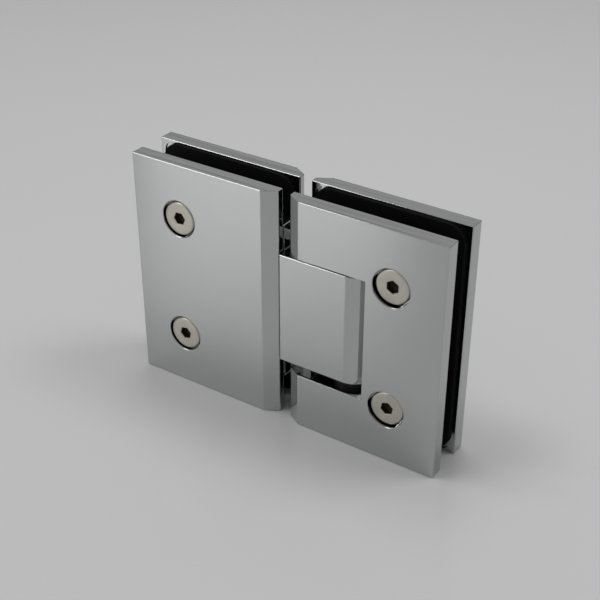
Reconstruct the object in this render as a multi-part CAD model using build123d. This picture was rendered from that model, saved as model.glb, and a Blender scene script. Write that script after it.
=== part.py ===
"""Glass-to-glass shower hinge: a fixed leaf with a pivot block, and a door leaf that turns on its pin.

X runs from the fixed leaf to the door leaf, Y from the front plates to the back plates, Z up along the pin.
The origin is the middle of the hinge: half height, half the glass, half the gap between the leaves.
All sizes are in millimetres.
"""

from build123d import *
import os

# Glass and gaskets
glass_thickness = 8.0
gasket_proud = 1.2
pocket_depth = 0.5
pocket_corner = 4.0
gasket_side_inset = 2.0
gasket_end_inset = 0.7
gasket_corner = 6.5
gasket_fit = 0.15
cutout_margin = 1.2
cutout_corner = 3.0

# Plates
plate_thickness = 5.7
leaf_gap = 4.5
chamfer_width = 5.2
chamfer_land = 2.6
chamfer_round = 1.0
edge_round = 0.4
rim_bevel = 0.3
ear_height = 21.55
screw_web = 2.55
screw_margin = 12.6

# Clamp screws and their sleeves
clamp_spacing = 48.0
clamp_shank_d = 6.0
clamp_head_d = 12.9
clamp_head_height = 2.6
clamp_head_bevel = 0.5
clamp_tip_bevel = 0.5
clamp_socket_af = 4.2
clamp_socket_depth = 2.0
head_clearance = 0.55
fixed_head_recess = 0.4
door_head_recess = 1.0
counterbore_bevel = 0.25
shank_clearance = 0.3
sleeve_wall = 1.3
sleeve_end_gap = 0.1
sleeve_side_gap = 0.4

# Pivot block
block_height = 42.9
nose_wall = 2.2
nose_clearance = 0.8
block_shoulder_gap = 0.3
block_bevel = 0.4
tongue_length = 20.0
tongue_overhang = 9.55
tongue_corner = 0.8
tongue_gap = 0.2

# Pivot pin, its bushes and thrust washers
pin_offset = 24.3
pin_d = 10.0
pin_end_d = 7.0
pin_end_flat = 0.9
pin_bevel = 0.5
pin_running_gap = 0.05
pin_bore_gap = 0.3
bush_wall = 1.3
bush_length = 7.0
bush_fit = 0.02
washer_thickness = 1.9
washer_width = 2.5
washer_running_gap = 0.1
washer_bore_gap = 0.2

# Detents: flats on the pin, and sprung plungers in the block
detent_wall = 0.9
cam_depth = 1.0
cam_length = 8.6
plunger_d = 7.3
plunger_length = 10.0
plunger_bevel = 0.4
plunger_running_gap = 0.05
plunger_lift_gap = 0.3
spigot_d = 4.2
spigot_length = 2.5
spring_length = 11.6
spring_wire = 0.9
spring_side_gap = 0.3
spring_turns = 5
spring_end_gap = 0.1
adjuster_length = 7.0
adjuster_socket_af = 3.5
adjuster_socket_depth = 3.0
thread_fit = 0.05

# Pin carriers in the door leaf
carrier_height = 13.0
carrier_pin_wall = 3.0
carrier_screw_wall = 1.6
carrier_gap = 0.1
carrier_corner = 1.5
set_screw_d = 4.0
set_screw_length = 3.4
set_screw_socket_af = 2.0
set_screw_socket_depth = 1.5

# Countersunk screws that hold the block and the carriers to the back plates
block_screw_d = 5.0
block_screw_head_d = 8.6
carrier_screw_d = 4.0
carrier_screw_head_d = 7.2
countersunk_socket_share = 0.38
countersunk_socket_depth = 1.6
thread_depth = 4.0
thread_tip_gap = 0.4

# Planes and places that follow from the driving sizes
inner_y = glass_thickness / 2 + gasket_proud
outer_y = inner_y + plate_thickness
pocket_y = inner_y + pocket_depth
edge_x = leaf_gap / 2
nose_r = pin_d / 2 + bush_wall + nose_wall
notch_x = pin_offset + nose_r + nose_clearance
block_half = block_height / 2
washer_top = block_half + washer_thickness
notch_half = washer_top + washer_running_gap
plate_half = notch_half + ear_height
counterbore_r = clamp_head_d / 2 + head_clearance
screw_x = notch_x + screw_web + counterbore_r
outer_x = screw_x + counterbore_r + screw_margin
block_x = block_shoulder_gap - edge_x
tongue_x = block_x - tongue_length
tongue_half = block_half + tongue_overhang
plunger_bore_r = plunger_d / 2 + plunger_running_gap
detent_z = block_half - bush_length - detent_wall - plunger_bore_r
plunger_tip_x = pin_offset - pin_d / 2 - plunger_lift_gap
plunger_rear_x = plunger_tip_x - plunger_length
adjuster_x = plunger_rear_x - spring_length - 2 * spring_end_gap
block_screw_x = tongue_x + tongue_length / 2
block_screw_z = (detent_z + plunger_bore_r + tongue_half) / 2
carrier_top = notch_half + carrier_height
carrier_z = notch_half + carrier_height / 2
carrier_right = pin_offset + pin_end_d / 2 + carrier_pin_wall
carrier_screw_x = pin_offset - pin_end_d / 2 - carrier_pin_wall - carrier_screw_head_d / 2
carrier_left = carrier_screw_x - carrier_screw_head_d / 2 - carrier_screw_wall
sleeve_inner_r = clamp_shank_d / 2 + shank_clearance
sleeve_outer_r = sleeve_inner_r + sleeve_wall

# Signs of the faces, the leaves and the ends, and how near an edge lies to the plane that it is picked by
FRONT, BACK = -1, 1
FIXED, DOOR = -1, 1
LOWER_UPPER = (-1, 1)
NEAR = 0.001
LARGEST_CORNER_SHARE = 0.49


def turned(*profile):
    """A solid of revolution about Z from (radius, height) points."""
    outline = Polyline(*[(radius, 0, height) for radius, height in profile], close=True)
    return revolve(make_face(outline), Axis.Z)


def along_y(solid, x, y, z):
    """Lay a solid made along Z along +Y, with its base at a point."""
    return Pos(x, y, z) * Rot(-90, 0, 0) * solid


def along_x(solid, x, y, z):
    """Lay a solid made along Z along +X, with its base at a point."""
    return Pos(x, y, z) * Rot(0, 90, 0) * solid


def rod(radius, length):
    """A plain cylinder that stands on its base."""
    return Pos(0, 0, length / 2) * Cylinder(radius, length)


def hexagon(across_flats, depth):
    """A hexagonal prism that stands on its base, for a key socket."""
    return extrude(RegularPolygon(across_flats / 2, 6, major_radius=False), depth)


def slab(outline, y0, y1):
    """Extrude an outline drawn in X and Z between two depths."""
    return Pos(0, y1, 0) * Rot(90, 0, 0) * extrude(outline, y1 - y0)


def rectangle(x0, x1, z0, z1, corner):
    """A rounded rectangle in X and Z, its corner held under half of its shorter side."""
    width, height = x1 - x0, z1 - z0
    radius = min(corner, LARGEST_CORNER_SHARE * min(width, height))
    return Pos((x0 + x1) / 2, (z0 + z1) / 2) * RectangleRounded(width, height, radius)


def span(x0, x1, y0, y1, z0, z1):
    """A plain box between two corners."""
    return Pos((x0 + x1) / 2, (y0 + y1) / 2, (z0 + z1) / 2) * Box(x1 - x0, y1 - y0, z1 - z0)


def both_ways(low, high, sign):
    """Two limits mirrored to one side of zero, in rising order."""
    return sorted((sign * low, sign * high))


def gasket_outline(side, inset_change, corner):
    """The C that lines a leaf's plates, open towards the other leaf around the block or the pin carriers."""
    side_inset = gasket_side_inset + inset_change
    end_z = plate_half - gasket_end_inset - inset_change
    frame_x = both_ways(edge_x + side_inset, outer_x - side_inset, side)
    reach = notch_x if side == DOOR else edge_x + tongue_length
    height = carrier_top if side == DOOR else tongue_half
    open_x = both_ways(-edge_x, reach + cutout_margin + inset_change, side)
    open_z = height + cutout_margin + inset_change
    return rectangle(*frame_x, -end_z, end_z, corner) - rectangle(*open_x, -open_z, open_z, cutout_corner)


def plate(side, face):
    """One plate of a leaf, with the long chamfer on the edge that faces the other leaf."""
    foot_y = inner_y + chamfer_land
    corners = [
        (edge_x, inner_y),
        (edge_x, foot_y),
        (edge_x + chamfer_width, outer_y),
        (outer_x, outer_y),
        (outer_x, inner_y),
    ]
    section = make_face(Polyline(*[(side * x, face * y) for x, y in corners], close=True))
    soft = section.vertices().filter_by(lambda v: edge_x - NEAR < abs(v.X) < edge_x + chamfer_width + NEAR)
    soft = soft.filter_by(lambda v: abs(v.Y) > inner_y + NEAR)
    section = fillet(soft, chamfer_round)
    hard = section.vertices().filter_by(lambda v: abs(v.X) > outer_x - NEAR)
    section = fillet(hard, edge_round)
    body = Pos(0, 0, -plate_half) * extrude(section, 2 * plate_half)
    rims = body.edges().filter_by(lambda e: abs(abs(e.center().Z) - plate_half) < NEAR)
    body = chamfer(rims, rim_bevel)
    pocket = gasket_outline(side, -gasket_fit, pocket_corner)
    body -= slab(pocket, *both_ways(inner_y, pocket_y, face))
    if side == DOOR:
        body -= span(0, notch_x, *both_ways(inner_y, outer_y, face), -notch_half, notch_half)
        mouth = body.edges().filter_by(lambda e: abs(e.center().Y) > foot_y and e.center().X < notch_x + NEAR)
        mouth = mouth.filter_by(lambda e: abs(e.center().Z) < notch_half + NEAR)
        body = chamfer(mouth, rim_bevel)
    return body


def front_plate(side, recess):
    """A front plate, counterbored for the clamp screws."""
    depth = clamp_head_height + recess
    mouth_r = counterbore_r + counterbore_bevel
    mouth = turned((0, 0), (mouth_r, 0), (counterbore_r, counterbore_bevel), (0, counterbore_bevel))
    body = plate(side, FRONT)
    for sign in LOWER_UPPER:
        place = (side * screw_x, -outer_y, sign * clamp_spacing / 2)
        body -= along_y(rod(counterbore_r, depth), *place)
        body -= along_y(rod(clamp_shank_d / 2 + shank_clearance, plate_thickness), *place)
        body -= along_y(mouth, *place)
    return body


def back_plate(side, places, shank_d):
    """A back plate with blind tapped holes for the clamp screws and for the screws of what it carries."""
    body = plate(side, BACK)
    hole_depth = thread_depth + thread_tip_gap
    for sign in LOWER_UPPER:
        hole = rod(clamp_shank_d / 2 + thread_fit, hole_depth)
        body -= along_y(hole, side * screw_x, inner_y, sign * clamp_spacing / 2)
    for x, z in places:
        body -= along_y(rod(shank_d / 2 + thread_fit, hole_depth), x, inner_y, z)
    return body


def gasket(side, face):
    """A rubber gasket in its plate's pocket, with holes for the screw sleeves."""
    body = slab(gasket_outline(side, 0, gasket_corner), *both_ways(glass_thickness / 2, pocket_y, face))
    for sign in LOWER_UPPER:
        hole = rod(sleeve_outer_r + sleeve_side_gap, 2 * outer_y)
        body -= along_y(hole, side * screw_x, -outer_y, sign * clamp_spacing / 2)
    return body


def clamp_screws(side, recess):
    """The two screws that draw a leaf's plates together, flat-headed with a hexagon socket."""
    head_r, shank_r = clamp_head_d / 2, clamp_shank_d / 2
    length = outer_y - recess + inner_y + thread_depth
    screw = turned(
        (0, 0),
        (head_r - clamp_head_bevel, 0),
        (head_r, clamp_head_bevel),
        (head_r, clamp_head_height),
        (shank_r, clamp_head_height),
        (shank_r, length - clamp_tip_bevel),
        (shank_r - clamp_tip_bevel, length),
        (0, length),
    )
    screw -= hexagon(clamp_socket_af, clamp_socket_depth)
    return [along_y(screw, side * screw_x, recess - outer_y, s * clamp_spacing / 2) for s in LOWER_UPPER]


def screw_sleeves(side):
    """Plastic tubes that keep the glass off the clamp screws."""
    length = 2 * (pocket_y - sleeve_end_gap)
    tube = rod(sleeve_outer_r, length) - rod(sleeve_inner_r, length)
    return [along_y(tube, side * screw_x, -length / 2, s * clamp_spacing / 2) for s in LOWER_UPPER]


def countersunk(shank_d, head_d, length):
    """A countersunk screw with a hexagon socket, its head flush at the base."""
    head_height = (head_d - shank_d) / 2
    screw = turned((0, 0), (head_d / 2, 0), (shank_d / 2, head_height), (shank_d / 2, length), (0, length))
    return screw - hexagon(countersunk_socket_share * head_d, countersunk_socket_depth)


def countersunk_hole(shank_d, head_d, length):
    """The hole for a countersunk screw, wider than it all round by the thread fit."""
    head_r, shank_r = head_d / 2 + thread_fit, shank_d / 2 + thread_fit
    return turned((0, 0), (head_r, 0), (shank_r, head_r - shank_r), (shank_r, length), (0, length))


def pivot_block(screw_places):
    """The block: a nose rounded about the pin, and a taller tongue that lies between the fixed plates."""
    nose = Pos(pin_offset, 0) * Circle(nose_r)
    shank = Pos((block_x + pin_offset) / 2, 0) * Rectangle(pin_offset - block_x, 2 * nose_r)
    head = Pos(0, 0, -block_half) * extrude(nose + shank, block_height)
    rims = head.edges().filter_by(lambda e: abs(abs(e.center().Z) - block_half) < NEAR)
    head = chamfer(rims, block_bevel)
    tongue_outline = rectangle(tongue_x, block_x, -tongue_half, tongue_half, tongue_corner)
    tongue = slab(tongue_outline, tongue_gap - inner_y, inner_y)
    body = head + tongue
    body -= Pos(pin_offset, 0, -block_half) * rod(pin_d / 2 + pin_bore_gap, block_height)
    seat = rod(pin_d / 2 + bush_wall + bush_fit, bush_length)
    body -= Pos(pin_offset, 0, block_half - bush_length) * seat
    body -= Pos(pin_offset, 0, -block_half) * seat
    for sign in LOWER_UPPER:
        body -= along_x(rod(plunger_bore_r, pin_offset - tongue_x), tongue_x, 0, sign * detent_z)
    for x, z in screw_places:
        hole = countersunk_hole(block_screw_d, block_screw_head_d, 2 * inner_y)
        body -= along_y(hole, x, tongue_gap - inner_y, z)
    return body


def pivot_pin():
    """The pin: a shaft with cam flats at the plungers, and stepped ends with a flat for the set screws."""
    shaft_r, end_r = pin_d / 2, pin_end_d / 2
    shoulder = washer_top + washer_running_gap / 2
    tip = carrier_top - pin_bevel
    body = turned(
        (0, -tip),
        (end_r - pin_bevel, -tip),
        (end_r, pin_bevel - tip),
        (end_r, -shoulder),
        (shaft_r, -shoulder),
        (shaft_r, shoulder),
        (end_r, shoulder),
        (end_r, tip - pin_bevel),
        (end_r - pin_bevel, tip),
        (0, tip),
    )
    for sign in LOWER_UPPER:
        for turn in range(4):
            flat = span(shaft_r - cam_depth, pin_d, -pin_d, pin_d, -cam_length / 2, cam_length / 2)
            body -= Pos(0, 0, sign * detent_z) * Rot(0, 0, 90 * turn) * flat
        body -= span(end_r - pin_end_flat, pin_d, -pin_d, pin_d, *both_ways(notch_half, carrier_top, sign))
    return Pos(pin_offset, 0, 0) * body


def bush():
    """A plain bush that stands on its base."""
    return rod(pin_d / 2 + bush_wall, bush_length) - rod(pin_d / 2 + pin_running_gap, bush_length)


def thrust_washer():
    """A plastic washer that stands on its base."""
    inner_r = pin_d / 2 + washer_bore_gap
    return rod(pin_d / 2 + washer_width, washer_thickness) - rod(inner_r, washer_thickness)


def detent_plunger():
    """A flat-nosed plunger with a spigot for its spring, its base at the spigot's end."""
    body_r, spigot_r = plunger_d / 2, spigot_d / 2
    tip = spigot_length + plunger_length
    return turned(
        (0, 0), (spigot_r, 0), (spigot_r, spigot_length), (body_r, spigot_length),
        (body_r, tip - plunger_bevel), (body_r - plunger_bevel, tip), (0, tip),
    )


def detent_spring():
    """A compression spring of square wire that stands on its base."""
    coil_r = plunger_bore_r - spring_side_gap - spring_wire / 2
    rise = spring_length - spring_wire
    path = Helix(pitch=rise / spring_turns, height=rise, radius=coil_r)
    wire = Plane(origin=path @ 0, x_dir=(1, 0, 0), z_dir=path % 0) * Rectangle(spring_wire, spring_wire)
    return Pos(0, 0, spring_wire / 2) * sweep(wire, path, is_frenet=True)


def spring_adjuster():
    """A grub screw behind a spring, its key socket at the base."""
    body = rod(plunger_bore_r - thread_fit, adjuster_length)
    return body - hexagon(adjuster_socket_af, adjuster_socket_depth)


def pin_carrier(sign):
    """A block between the door plates that grips one end of the pin, screwed to the back plate."""
    height = both_ways(notch_half, carrier_top, sign)
    outline = rectangle(carrier_left, carrier_right, *height, carrier_corner)
    front_y = carrier_gap - inner_y
    body = slab(outline, front_y, inner_y)
    pin_bore = rod(pin_end_d / 2 + bush_fit, 2 * carrier_height)
    body -= Pos(pin_offset, 0, sign * carrier_z - carrier_height) * pin_bore
    set_screw_bore = rod(set_screw_d / 2 + thread_fit, carrier_right - pin_offset)
    body -= along_x(set_screw_bore, pin_offset, 0, sign * carrier_z)
    hole = countersunk_hole(carrier_screw_d, carrier_screw_head_d, 2 * inner_y)
    return body - along_y(hole, carrier_screw_x, front_y, sign * carrier_z)


def set_screw(sign):
    """A grub screw that bears on the flat of the pin's end, its socket facing the door."""
    body = rod(set_screw_d / 2, set_screw_length)
    socket = hexagon(set_screw_socket_af, set_screw_socket_depth)
    body -= Pos(0, 0, set_screw_length - set_screw_socket_depth) * socket
    return along_x(body, pin_offset + pin_end_d / 2 - pin_end_flat + thread_fit, 0, sign * carrier_z)


block_screw_places = [(block_screw_x, sign * block_screw_z) for sign in LOWER_UPPER]
carrier_screw_places = [(carrier_screw_x, sign * carrier_z) for sign in LOWER_UPPER]
block_screw = countersunk(block_screw_d, block_screw_head_d, 2 * inner_y - tongue_gap + thread_depth)
carrier_screw = countersunk(carrier_screw_d, carrier_screw_head_d, 2 * inner_y - carrier_gap + thread_depth)

# Fixed leaf
pieces = {
    "fixed_front_plate": front_plate(FIXED, fixed_head_recess),
    "fixed_back_plate": back_plate(FIXED, block_screw_places, block_screw_d),
    "fixed_front_gasket": gasket(FIXED, FRONT),
    "fixed_back_gasket": gasket(FIXED, BACK),
    "fixed_clamp_screws": clamp_screws(FIXED, fixed_head_recess),
    "fixed_screw_sleeves": screw_sleeves(FIXED),
    "pivot_block": pivot_block(block_screw_places),
    "block_screws": [along_y(block_screw, x, tongue_gap - inner_y, z) for x, z in block_screw_places],
    "upper_bush": Pos(pin_offset, 0, block_half - bush_length) * bush(),
    "lower_bush": Pos(pin_offset, 0, -block_half) * bush(),
    "upper_thrust_washer": Pos(pin_offset, 0, block_half) * thrust_washer(),
    "lower_thrust_washer": Pos(pin_offset, 0, -washer_top) * thrust_washer(),
}

# Detents
for name, sign in (("lower", -1), ("upper", 1)):
    z = sign * detent_z
    pieces[name + "_detent_plunger"] = along_x(detent_plunger(), plunger_rear_x - spigot_length, 0, z)
    pieces[name + "_detent_spring"] = along_x(detent_spring(), adjuster_x + spring_end_gap, 0, z)
    pieces[name + "_spring_adjuster"] = along_x(spring_adjuster(), adjuster_x - adjuster_length, 0, z)

# Door leaf
pieces |= {
    "door_front_plate": front_plate(DOOR, door_head_recess),
    "door_back_plate": back_plate(DOOR, carrier_screw_places, carrier_screw_d),
    "door_front_gasket": gasket(DOOR, FRONT),
    "door_back_gasket": gasket(DOOR, BACK),
    "door_clamp_screws": clamp_screws(DOOR, door_head_recess),
    "door_screw_sleeves": screw_sleeves(DOOR),
    "pivot_pin": pivot_pin(),
    "lower_pin_carrier": pin_carrier(-1),
    "upper_pin_carrier": pin_carrier(1),
    "carrier_screws": [along_y(carrier_screw, x, carrier_gap - inner_y, z) for x, z in carrier_screw_places],
    "pin_set_screws": [set_screw(sign) for sign in LOWER_UPPER],
}

os.makedirs("parts", exist_ok=True)
for name, piece in pieces.items():
    solid = Compound(children=piece) if isinstance(piece, list) else piece
    export_step(solid, "parts/" + name + ".step")
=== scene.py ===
"""Looks of a glass-to-glass shower hinge: bright plates and block, satin screws, black gaskets, inner works.

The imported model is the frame. Shapes are worked out in millimetres in the frame's own axes, and become meshes
in metres. X runs from the fixed leaf to the door leaf, Y from the front plates to the back plates, and Z up
along the pin.
"""

import logging
import math
from dataclasses import dataclass
from enum import Enum
from typing import Any, Sequence

import bmesh
import bpy
import numpy as np
from mathutils import Matrix, Vector


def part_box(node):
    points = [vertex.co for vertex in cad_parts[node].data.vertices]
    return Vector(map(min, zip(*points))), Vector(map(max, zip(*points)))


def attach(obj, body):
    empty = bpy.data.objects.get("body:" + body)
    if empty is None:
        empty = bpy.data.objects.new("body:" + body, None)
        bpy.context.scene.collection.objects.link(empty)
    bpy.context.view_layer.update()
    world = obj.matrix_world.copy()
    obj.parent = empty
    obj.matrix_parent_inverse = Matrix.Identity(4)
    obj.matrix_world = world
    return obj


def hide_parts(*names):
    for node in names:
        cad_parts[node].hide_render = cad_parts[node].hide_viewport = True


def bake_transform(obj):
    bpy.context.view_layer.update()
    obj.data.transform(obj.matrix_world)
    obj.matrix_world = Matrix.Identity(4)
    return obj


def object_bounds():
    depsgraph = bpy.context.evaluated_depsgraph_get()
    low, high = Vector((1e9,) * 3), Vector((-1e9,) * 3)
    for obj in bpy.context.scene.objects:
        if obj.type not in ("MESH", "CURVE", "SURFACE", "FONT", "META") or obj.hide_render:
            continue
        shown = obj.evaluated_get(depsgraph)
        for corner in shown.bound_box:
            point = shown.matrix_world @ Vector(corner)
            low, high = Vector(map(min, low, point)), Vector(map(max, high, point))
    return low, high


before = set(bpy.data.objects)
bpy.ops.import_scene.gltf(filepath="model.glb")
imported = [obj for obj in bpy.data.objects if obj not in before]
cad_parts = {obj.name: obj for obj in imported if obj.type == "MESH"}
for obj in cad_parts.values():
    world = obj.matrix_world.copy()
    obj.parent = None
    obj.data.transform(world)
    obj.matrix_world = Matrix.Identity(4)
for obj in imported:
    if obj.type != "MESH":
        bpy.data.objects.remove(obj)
CAD_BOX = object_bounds()

MM = 0.001
DETENTS = ("lower", "upper")
SEAM_MM = 1e-5
CUT_MM = 1e-3
SHARP_ANGLE = math.radians(32)
FLAT_WEIGHT = 100
OVERRUN = 1.0
HALF_ROUND = 0.9999
MOUTH_STEPS = 5
HOLE_STEPS = 48
BORE_STEPS = 128
MIXED_COLOUR = 2

log = logging.getLogger("shower_hinge")

Triple = tuple[float, float, float]
Colour = Triple


class Along(Enum):
    """The axis that a profile is carried along, as where X, Y and Z come from in (across, up, along)."""

    X = (2, 0, 1)
    Y = (0, 2, 1)
    Z = (0, 1, 2)


class Side(Enum):
    """The leaf that a piece belongs to, as its sign along X."""

    FIXED = -1
    DOOR = 1


class Face(Enum):
    """The plate that a piece belongs to, as its sign along Y."""

    FRONT = -1
    BACK = 1


class Task(Enum):
    """What a lamp is for, as whether it lights dull surfaces and whether it shows in glossy ones."""

    LIGHT = (True, False)
    SHOW = (False, True)


class HeadStyle(Enum):
    """The head of a screw."""

    FLAT = "flat cylinder head"
    COUNTERSUNK = "countersunk head"
    GRUB = "no head"


def node_box(node: str) -> tuple[np.ndarray, np.ndarray]:
    """Give a node's box at rest.

    Args:
        node: The node's name in the frame.

    Returns:
        The lowest and highest corners, in millimetres.
    """
    low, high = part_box(node)
    return np.array(low) / MM, np.array(high) / MM


# Outlines and skins


@dataclass(frozen=True)
class Outline:
    """A closed flat outline: its points, counterclockwise, and the outward normal at each of them."""

    points: np.ndarray
    normals: np.ndarray

    @classmethod
    def rounded(cls, corners: Sequence[tuple[float, float]], radii: Any, steps: int = 8) -> "Outline":
        """Round a polygon's corners with arcs that touch both sides.

        An arc's centre lies on the corner's bisector, at the radius over the sine of half the angle, and its
        points turn evenly from one side's normal to the other's.

        Args:
            corners: The polygon's corners in either order.
            radii: One radius for all corners, or one for each.
            steps: Spans in each arc.

        Returns:
            The rounded outline.
        """
        corner = np.asarray(corners, float)
        radius = np.broadcast_to(np.asarray(radii, float), (len(corner),))
        following = np.roll(corner, -1, axis=0)
        if np.sum(corner[:, 0] * following[:, 1] - corner[:, 1] * following[:, 0]) < 0:
            corner, radius = corner[::-1], radius[::-1]
        back = np.roll(corner, 1, axis=0) - corner
        ahead = np.roll(corner, -1, axis=0) - corner
        back /= np.linalg.norm(back, axis=1, keepdims=True)
        ahead /= np.linalg.norm(ahead, axis=1, keepdims=True)
        half = np.arccos(np.clip(np.sum(back * ahead, axis=1), -1, 1)) / 2
        bisector = (back + ahead) / np.linalg.norm(back + ahead, axis=1, keepdims=True)
        centre = corner + bisector * (radius / np.sin(half))[:, None]
        reach = (radius / np.tan(half))[:, None]
        start = corner + back * reach - centre
        end = corner + ahead * reach - centre
        turn = (math.pi - 2 * half)[:, None, None]
        share = np.linspace(0, 1, steps + 1)[None, :, None]
        arc = np.sin((1 - share) * turn) * start[:, None] + np.sin(share * turn) * end[:, None]
        arc = arc / np.sin(turn)
        convex = np.sign(ahead[:, 0] * back[:, 1] - ahead[:, 1] * back[:, 0])
        normals = arc * (convex / radius)[:, None, None]
        return cls((centre[:, None] + arc).reshape(-1, 2), normals.reshape(-1, 2))

    @classmethod
    def circle(cls, centre: tuple[float, float], radius: float, steps: int = 64) -> "Outline":
        """Make a circle.

        Args:
            centre: The circle's middle.
            radius: Its radius.
            steps: Points round it.

        Returns:
            The circle as an outline.
        """
        angle = np.linspace(0, 2 * math.pi, steps, endpoint=False)
        normals = np.stack([np.cos(angle), np.sin(angle)], axis=1)
        return cls(np.asarray(centre) + radius * normals, normals)

    def carried(self, growth: Sequence[float], heights: Sequence[float], along: Along) -> "Skin":
        """Carry the outline along an axis, moved out along its normals by a growth at each height.

        Args:
            growth: How far the outline moves out at each stop.
            heights: Where the stops are on the axis.
            along: The axis.

        Returns:
            The closed skin.
        """
        grown = self.points + np.asarray(growth, float)[:, None, None] * self.normals
        level = np.broadcast_to(np.asarray(heights, float)[:, None, None], grown.shape[:2] + (1,))
        return Skin.wrapped(np.concatenate([grown, level], axis=2)[..., list(along.value)])


@dataclass(frozen=True)
class Skin:
    """A closed surface in millimetres: its points, and the point numbers of its faces."""

    points: np.ndarray
    faces: list[list[int]]

    @classmethod
    def wrapped(cls, grid: np.ndarray) -> "Skin":
        """Close a grid of points round its columns, with a flat cap on its first and last rows.

        Args:
            grid: Points by row, column and coordinate.

        Returns:
            The closed skin.
        """
        rows, columns = grid.shape[:2]
        number = np.arange(rows * columns).reshape(rows, columns)
        ahead = np.roll(number, -1, axis=1)
        quads = np.stack([number[:-1], ahead[:-1], ahead[1:], number[1:]], axis=2)
        caps = [number[0, ::-1].tolist(), number[-1].tolist()]
        return cls(grid.reshape(-1, 3), quads.reshape(-1, 4).tolist() + caps)

    def joined(self, other: "Skin") -> "Skin":
        """Put two skins that don't touch into one."""
        shifted = [[number + len(self.points) for number in face] for face in other.faces]
        return Skin(np.concatenate([self.points, other.points]), self.faces + shifted)

    def placed(self, name: str) -> bpy.types.Object:
        """Make an object of the skin, welded at its seams and poles, its faces pointing outwards.

        Args:
            name: The object's name.

        Returns:
            The object, still in millimetres.
        """
        mesh = bpy.data.meshes.new(name)
        mesh.from_pydata(self.points.tolist(), [], self.faces)
        weld(mesh, SEAM_MM)
        piece = bpy.data.objects.new(name, mesh)
        bpy.context.scene.collection.objects.link(piece)
        return piece


def weld(mesh: bpy.types.Mesh, distance: float) -> None:
    """Join a mesh's points that lie closer than a distance, and point its faces outwards.

    Args:
        mesh: The mesh to change, in millimetres.
        distance: How close points are that become one.
    """
    work = bmesh.new()
    work.from_mesh(mesh)
    bmesh.ops.remove_doubles(work, verts=work.verts, dist=distance)
    bmesh.ops.dissolve_degenerate(work, edges=work.edges, dist=distance)
    bmesh.ops.recalc_face_normals(work, faces=work.faces)
    work.to_mesh(mesh)
    work.free()


def shaped(piece: bpy.types.Object, operation: str, others: Sequence[Skin]) -> None:
    """Cut skins out of a piece, or add them to it, and keep the result as its mesh.

    Args:
        piece: The piece to change, in millimetres.
        operation: DIFFERENCE or UNION.
        others: The skins to cut out or add.
    """
    helpers = [skin.placed(f"{piece.name}_helper") for skin in others]
    for helper in helpers:
        modifier = piece.modifiers.new("shape", "BOOLEAN")
        modifier.operation = operation
        modifier.solver = "EXACT"
        modifier.object = helper
    bpy.context.view_layer.update()
    graph = bpy.context.evaluated_depsgraph_get()
    mesh = bpy.data.meshes.new_from_object(piece.evaluated_get(graph))
    piece.modifiers.clear()
    weld(mesh, CUT_MM)
    piece.data = mesh
    for helper in helpers:
        bpy.data.objects.remove(helper)


def finished(piece: bpy.types.Object, nodes: Sequence[str], finish: "Finish") -> None:
    """Finish a piece: metres, smooth faces that stay flat where they are flat, material, and its nodes hidden.

    Args:
        piece: The piece, in millimetres.
        nodes: The nodes that it stands for.
        finish: Its finish.
    """
    mesh = piece.data
    mesh.transform(Matrix.Scale(MM, 4))
    mesh.polygons.foreach_set("use_smooth", np.ones(len(mesh.polygons), bool))
    mesh.set_sharp_from_angle(angle=SHARP_ANGLE)
    even = piece.modifiers.new("flat faces stay flat", "WEIGHTED_NORMAL")
    even.weight = FLAT_WEIGHT
    even.keep_sharp = True
    mesh.materials.clear()
    mesh.materials.append(finish.material())
    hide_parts(*nodes)
    log.info("%s: %d faces, %s", piece.name, len(mesh.polygons), finish.name)


def dressed(piece: bpy.types.Object, body: str, nodes: Sequence[str], finish: "Finish") -> None:
    """Finish a piece, and let it ride on a body."""
    finished(piece, nodes, finish)
    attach(piece, body)


# Shader graphs


@dataclass(frozen=True)
class Value:
    """A number in a shader graph, with arithmetic that adds Math nodes."""

    graph: "Graph"
    socket: bpy.types.NodeSocket

    def _with(self, operation: str, *operands: Any) -> "Value":
        """Add a Math node for an operation on some operands."""
        node = self.graph.node("ShaderNodeMath", {"operation": operation}, dict(enumerate(operands)))
        return Value(self.graph, node.outputs[0])

    def __add__(self, other: Any) -> "Value":
        """This plus another."""
        return self._with("ADD", self, other)

    __radd__ = __add__

    def __sub__(self, other: Any) -> "Value":
        """This minus another."""
        return self._with("SUBTRACT", self, other)

    def __rsub__(self, other: Any) -> "Value":
        """A number minus this."""
        return self._with("SUBTRACT", other, self)

    def __mul__(self, other: Any) -> "Value":
        """This times another."""
        return self._with("MULTIPLY", self, other)

    __rmul__ = __mul__

    def __abs__(self) -> "Value":
        """This without its sign."""
        return self._with("ABSOLUTE", self)

    def sine(self) -> "Value":
        """The sine of this, in radians."""
        return self._with("SINE", self)

    def root(self) -> "Value":
        """The square root of this."""
        return self._with("SQRT", self)

    def ramp(self, low: float, high: float) -> "Value":
        """Rise smoothly from 0 where this is low to 1 where it is high."""
        inputs = {"Value": self, "From Min": low, "From Max": high}
        node = self.graph.node("ShaderNodeMapRange", {"interpolation_type": "SMOOTHSTEP"}, inputs)
        return Value(self.graph, node.outputs[0])


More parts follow.
